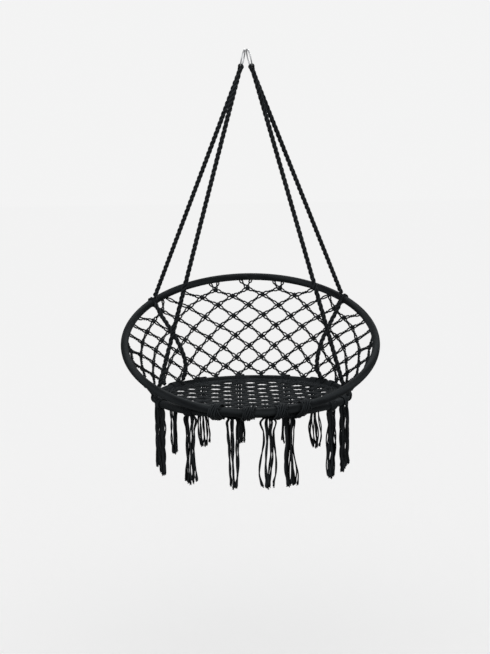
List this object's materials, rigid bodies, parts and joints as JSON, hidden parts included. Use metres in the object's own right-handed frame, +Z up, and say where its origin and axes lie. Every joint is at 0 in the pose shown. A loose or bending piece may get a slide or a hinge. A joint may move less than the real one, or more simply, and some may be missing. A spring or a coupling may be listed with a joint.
{
  "type": "hanging hammock chair",
  "caption": "Round knotted-cord hammock chair: a tilted upper hoop and a level seat hoop joined by nets, hung by ropes from steel rings, with fringe tassels.",
  "frame": {"origin": "the point where both hanging rings rest on a hook, at the inner top of the rings", "axes": "+Z up along the hanging line, +X to the right of someone who faces the chair, +Y to the back of the chair"},
  "size_m": [0.8, 0.7331, 1.266],
  "materials": {
    "ring_steel": "bright plated steel wire",
    "tube_steel": "black powder coat, hidden under the winding",
    "hoop_winding": "fine black cord wound tightly round the tube",
    "rope": "black cotton rope, three twisted strands",
    "net_cord": "black twisted cotton cord, knotted",
    "tassel_cord": "loose black cotton strands"
  },
  "bodies": {
    "hanging_rings": {"hanging_ring_left": "ring_steel", "hanging_ring_right": "ring_steel"},
    "chair": {"front_rope_left": "rope", "front_rope_right": "rope", "back_rope_left": "rope", "back_rope_right": "rope", "front_hitch_left": "rope", "front_hitch_right": "rope", "back_hitch_left": "rope", "back_hitch_right": "rope", "rope_tail_left": "rope", "rope_tail_right": "rope", "tail_hitch_left": "rope", "tail_hitch_right": "rope", "upper_hoop_tube": "tube_steel", "upper_hoop_winding": "hoop_winding", "seat_hoop_tube": "tube_steel", "seat_hoop_winding": "hoop_winding", "front_lashing_1": "net_cord", "front_lashing_2": "net_cord", "front_lashing_3": "net_cord", "front_lashing_4": "net_cord", "back_net": "net_cord", "seat_net": "net_cord"},
    "tassel_1": {"tassel_1": "tassel_cord"},
    "tassel_2": {"tassel_2": "tassel_cord"},
    "tassel_3": {"tassel_3": "tassel_cord"},
    "tassel_4": {"tassel_4": "tassel_cord"},
    "tassel_5": {"tassel_5": "tassel_cord"},
    "tassel_6": {"tassel_6": "tassel_cord"},
    "tassel_7": {"tassel_7": "tassel_cord"},
    "tassel_8": {"tassel_8": "tassel_cord"},
    "tassel_9": {"tassel_9": "tassel_cord"},
    "tassel_10": {"tassel_10": "tassel_cord"},
    "tassel_11": {"tassel_11": "tassel_cord"},
    "tassel_12": {"tassel_12": "tassel_cord"},
    "tassel_13": {"tassel_13": "tassel_cord"},
    "tassel_14": {"tassel_14": "tassel_cord"},
    "tassel_15": {"tassel_15": "tassel_cord"}
  },
  "joints": [
    {"name": "swing_fore_aft", "type": "hinge", "parent": "hanging_rings", "child": "chair", "pos_m": [0, 0, -0.0242], "axis": [1, 0, 0], "range_deg": [-20, 20]},
    {"name": "tassel_1_swing", "type": "hinge", "parent": "chair", "child": "tassel_1", "pos_m": [-0.06092, -0.3238, -1.045], "axis": [-0.9781, 0.2079, 0], "range_deg": [-35, 35]},
    {"name": "tassel_2_swing", "type": "hinge", "parent": "chair", "child": "tassel_2", "pos_m": [-0.18439, -0.2649, -1.045], "axis": [-0.7771, 0.6293, 0], "range_deg": [-35, 35]},
    {"name": "tassel_3_swing", "type": "hinge", "parent": "chair", "child": "tassel_3", "pos_m": [-0.27166, -0.14696, -1.045], "axis": [-0.3746, 0.9272, 0], "range_deg": [-35, 35]},
    {"name": "tassel_4_swing", "type": "hinge", "parent": "chair", "child": "tassel_4", "pos_m": [-0.29296, -0.04231, -1.045], "axis": [-0.0175, 0.9998, 0], "range_deg": [-35, 35]},
    {"name": "tassel_5_swing", "type": "hinge", "parent": "chair", "child": "tassel_5", "pos_m": [-0.24573, 0.12238, -1.045], "axis": [0.5446, 0.8387, 0], "range_deg": [-35, 35]},
    {"name": "tassel_6_swing", "type": "hinge", "parent": "chair", "child": "tassel_6", "pos_m": [-0.15527, 0.21128, -1.045], "axis": [0.848, 0.5299, 0], "range_deg": [-35, 35]},
    {"name": "tassel_7_swing", "type": "hinge", "parent": "chair", "child": "tassel_7", "pos_m": [-0.03063, 0.25419, -1.045], "axis": [0.9945, 0.1045, 0], "range_deg": [-35, 35]},
    {"name": "tassel_8_swing", "type": "hinge", "parent": "chair", "child": "tassel_8", "pos_m": [0.11917, 0.23047, -1.045], "axis": [0.9135, -0.4067, 0], "range_deg": [-35, 35]},
    {"name": "tassel_9_swing", "type": "hinge", "parent": "chair", "child": "tassel_9", "pos_m": [0.21077, 0.16633, -1.045], "axis": [0.6947, -0.7193, 0], "range_deg": [-35, 35]},
    {"name": "tassel_10_swing", "type": "hinge", "parent": "chair", "child": "tassel_10", "pos_m": [0.26106, 0.09582, -1.045], "axis": [0.454, -0.891, 0], "range_deg": [-35, 35]},
    {"name": "tassel_11_swing", "type": "hinge", "parent": "chair", "child": "tassel_11", "pos_m": [0.29015, -0.07798, -1.045], "axis": [-0.1392, -0.9903, 0], "range_deg": [-35, 35]},
    {"name": "tassel_12_swing", "type": "hinge", "parent": "chair", "child": "tassel_12", "pos_m": [0.26767, -0.15637, -1.045], "axis": [-0.4067, -0.9135, 0], "range_deg": [-35, 35]},
    {"name": "tassel_13_swing", "type": "hinge", "parent": "chair", "child": "tassel_13", "pos_m": [0.2277, -0.22159, -1.045], "axis": [-0.6293, -0.7771, 0], "range_deg": [-35, 35]},
    {"name": "tassel_14_swing", "type": "hinge", "parent": "chair", "child": "tassel_14", "pos_m": [0.10021, -0.31253, -1.045], "axis": [-0.9397, -0.342, 0], "range_deg": [-35, 35]},
    {"name": "tassel_15_swing", "type": "hinge", "parent": "chair", "child": "tassel_15", "pos_m": [0.04078, -0.32735, -1.045], "axis": [-0.9903, -0.1392, 0], "range_deg": [-35, 35]}
  ]
}
